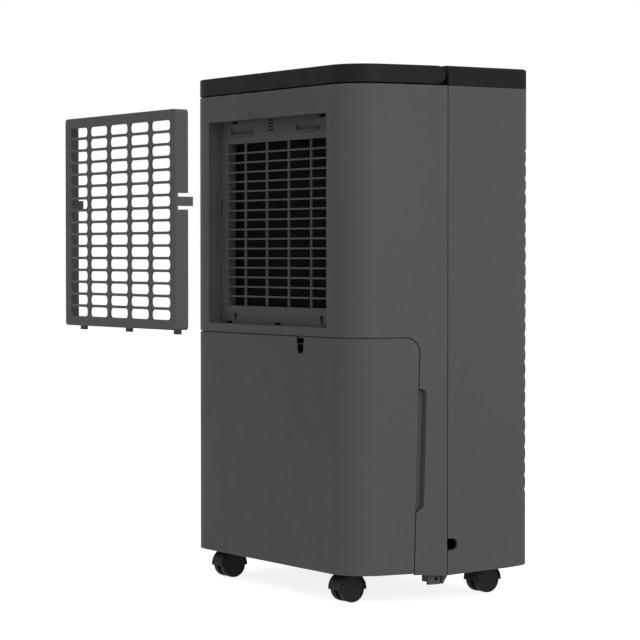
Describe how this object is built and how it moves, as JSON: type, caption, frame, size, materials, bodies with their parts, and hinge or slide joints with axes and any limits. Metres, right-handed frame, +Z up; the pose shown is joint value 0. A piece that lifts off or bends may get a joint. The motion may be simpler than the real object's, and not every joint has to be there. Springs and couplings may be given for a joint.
{
  "type": "dehumidifier",
  "caption": "Free-standing compressor dehumidifier on swivel casters, with a flip-up carry handle, a rear water tank and a pull-out air filter.",
  "frame": {"origin": "on the floor, under the middle of the object's box with the air filter pulled straight out of its bay", "axes": "+Z up; the front faces -Y; the rear, with the air filter and the water tank, faces +Y"},
  "size_m": [0.384, 0.4206, 0.59],
  "materials": {
    "casing_plastic": "fine-textured moulded plastic, dark grey, satin",
    "cap_plastic": "fine-textured moulded plastic, near black, satin",
    "black_plastic": "plain moulded plastic, black",
    "button_plastic": "smooth satin plastic, black",
    "grey_plastic": "plain moulded plastic, mid grey",
    "float_plastic": "blow-moulded plastic, off white",
    "display_glass": "smoked gloss window",
    "steel": "zinc-plated steel",
    "fin_aluminium": "stacked fins",
    "copper": "drawn copper tube",
    "compressor_enamel": "black enamel",
    "caster_plastic": "black nylon"
  },
  "bodies": {
    "cabinet": {"rear_shell": "casing_plastic", "front_shell": "casing_plastic", "filter_bay": "casing_plastic", "base_bracket": "casing_plastic", "top_deck": "cap_plastic", "front_top_cover": "cap_plastic", "base_pan": "black_plastic", "tank_bay": "black_plastic", "drain_spout": "black_plastic", "outlet_grille": "black_plastic", "scroll_housing": "black_plastic", "tank_switch": "black_plastic", "drip_tray": "grey_plastic", "control_box": "grey_plastic", "run_capacitor": "grey_plastic", "humidity_sensor": "grey_plastic", "display_lens": "display_glass", "bay_screw_left": "steel", "bay_screw_right": "steel", "handle_pin_left": "steel", "handle_pin_right": "steel", "fan_motor": "steel", "evaporator": "fin_aluminium", "condenser": "fin_aluminium", "accumulator": "copper", "suction_pipe": "copper", "discharge_pipe": "copper", "compressor": "compressor_enamel"},
    "filter": {"filter_frame": "casing_plastic"},
    "tank": {"water_tank": "casing_plastic", "tank_lid": "grey_plastic"},
    "float": {"tank_float": "float_plastic"},
    "handle": {"carry_handle": "cap_plastic"},
    "fan": {"impeller": "grey_plastic", "fan_shaft": "steel"},
    "power_key": {"power_button": "button_plastic"},
    "mode_key": {"mode_button": "button_plastic"},
    "fan_key": {"fan_button": "button_plastic"},
    "timer_key": {"timer_button": "button_plastic"},
    "swivel_rear_left": {"caster_hood_rear_left": "caster_plastic", "caster_stem_rear_left": "steel"},
    "wheels_rear_left": {"caster_axle_rear_left": "steel", "caster_wheel_left_rear_left": "caster_plastic", "caster_wheel_right_rear_left": "caster_plastic"},
    "swivel_rear_right": {"caster_hood_rear_right": "caster_plastic", "caster_stem_rear_right": "steel"},
    "wheels_rear_right": {"caster_axle_rear_right": "steel", "caster_wheel_left_rear_right": "caster_plastic", "caster_wheel_right_rear_right": "caster_plastic"},
    "swivel_front_left": {"caster_hood_front_left": "caster_plastic", "caster_stem_front_left": "steel"},
    "wheels_front_left": {"caster_axle_front_left": "steel", "caster_wheel_left_front_left": "caster_plastic", "caster_wheel_right_front_left": "caster_plastic"},
    "swivel_front_right": {"caster_hood_front_right": "caster_plastic", "caster_stem_front_right": "steel"},
    "wheels_front_right": {"caster_axle_front_right": "steel", "caster_wheel_left_front_right": "caster_plastic", "caster_wheel_right_front_right": "caster_plastic"}
  },
  "joints": [
    {"name": "filter_slide", "type": "slide", "parent": "cabinet", "child": "filter", "axis": [0, -1, 0], "range_m": [0, 0.1886]},
    {"name": "tank_slide", "type": "slide", "parent": "cabinet", "child": "tank", "axis": [0, 1, 0], "range_m": [0, 0.12]},
    {"name": "float_hinge", "type": "hinge", "parent": "tank", "child": "float", "pos_m": [0.07, 0.0037, 0.2559], "axis": [-1, 0, 0], "range_deg": [0, 14]},
    {"name": "handle_hinge", "type": "hinge", "parent": "cabinet", "child": "handle", "pos_m": [0, -0.0843, 0.5795], "axis": [1, 0, 0], "range_deg": [0, 90]},
    {"name": "fan_spin", "type": "hinge", "parent": "cabinet", "child": "fan", "pos_m": [0, -0.0683, 0.4173], "axis": [0, 1, 0], "continuous": true},
    {"name": "power_press", "type": "slide", "parent": "cabinet", "child": "power_key", "axis": [0, 0, -1], "range_m": [0, 0.0015], "stiffness_N_per_m": 400},
    {"name": "mode_press", "type": "slide", "parent": "cabinet", "child": "mode_key", "axis": [0, 0, -1], "range_m": [0, 0.0015], "stiffness_N_per_m": 400},
    {"name": "fan_press", "type": "slide", "parent": "cabinet", "child": "fan_key", "axis": [0, 0, -1], "range_m": [0, 0.0015], "stiffness_N_per_m": 400},
    {"name": "timer_press", "type": "slide", "parent": "cabinet", "child": "timer_key", "axis": [0, 0, -1], "range_m": [0, 0.0015], "stiffness_N_per_m": 400},
    {"name": "swivel_rear_left", "type": "hinge", "parent": "cabinet", "child": "swivel_rear_left", "pos_m": [0.1235, -0.0123, 0.03], "axis": [0, 0, 1], "continuous": true},
    {"name": "roll_rear_left", "type": "hinge", "parent": "swivel_rear_left", "child": "wheels_rear_left", "pos_m": [0.1235, -0.0033, 0.015], "axis": [1, 0, 0], "continuous": true},
    {"name": "swivel_rear_right", "type": "hinge", "parent": "cabinet", "child": "swivel_rear_right", "pos_m": [-0.1325, -0.0123, 0.03], "axis": [0, 0, 1], "continuous": true},
    {"name": "roll_rear_right", "type": "hinge", "parent": "swivel_rear_right", "child": "wheels_rear_right", "pos_m": [-0.1325, -0.0033, 0.015], "axis": [1, 0, 0], "continuous": true},
    {"name": "swivel_front_left", "type": "hinge", "parent": "cabinet", "child": "swivel_front_left", "pos_m": [0.1365, -0.1689, 0.03], "axis": [0, 0, 1], "continuous": true},
    {"name": "roll_front_left", "type": "hinge", "parent": "swivel_front_left", "child": "wheels_front_left", "pos_m": [0.1365, -0.1779, 0.015], "axis": [1, 0, 0], "continuous": true},
    {"name": "swivel_front_right", "type": "hinge", "parent": "cabinet", "child": "swivel_front_right", "pos_m": [-0.1455, -0.1689, 0.03], "axis": [0, 0, 1], "continuous": true},
    {"name": "roll_front_right", "type": "hinge", "parent": "swivel_front_right", "child": "wheels_front_right", "pos_m": [-0.1455, -0.1779, 0.015], "axis": [1, 0, 0], "continuous": true}
  ]
}
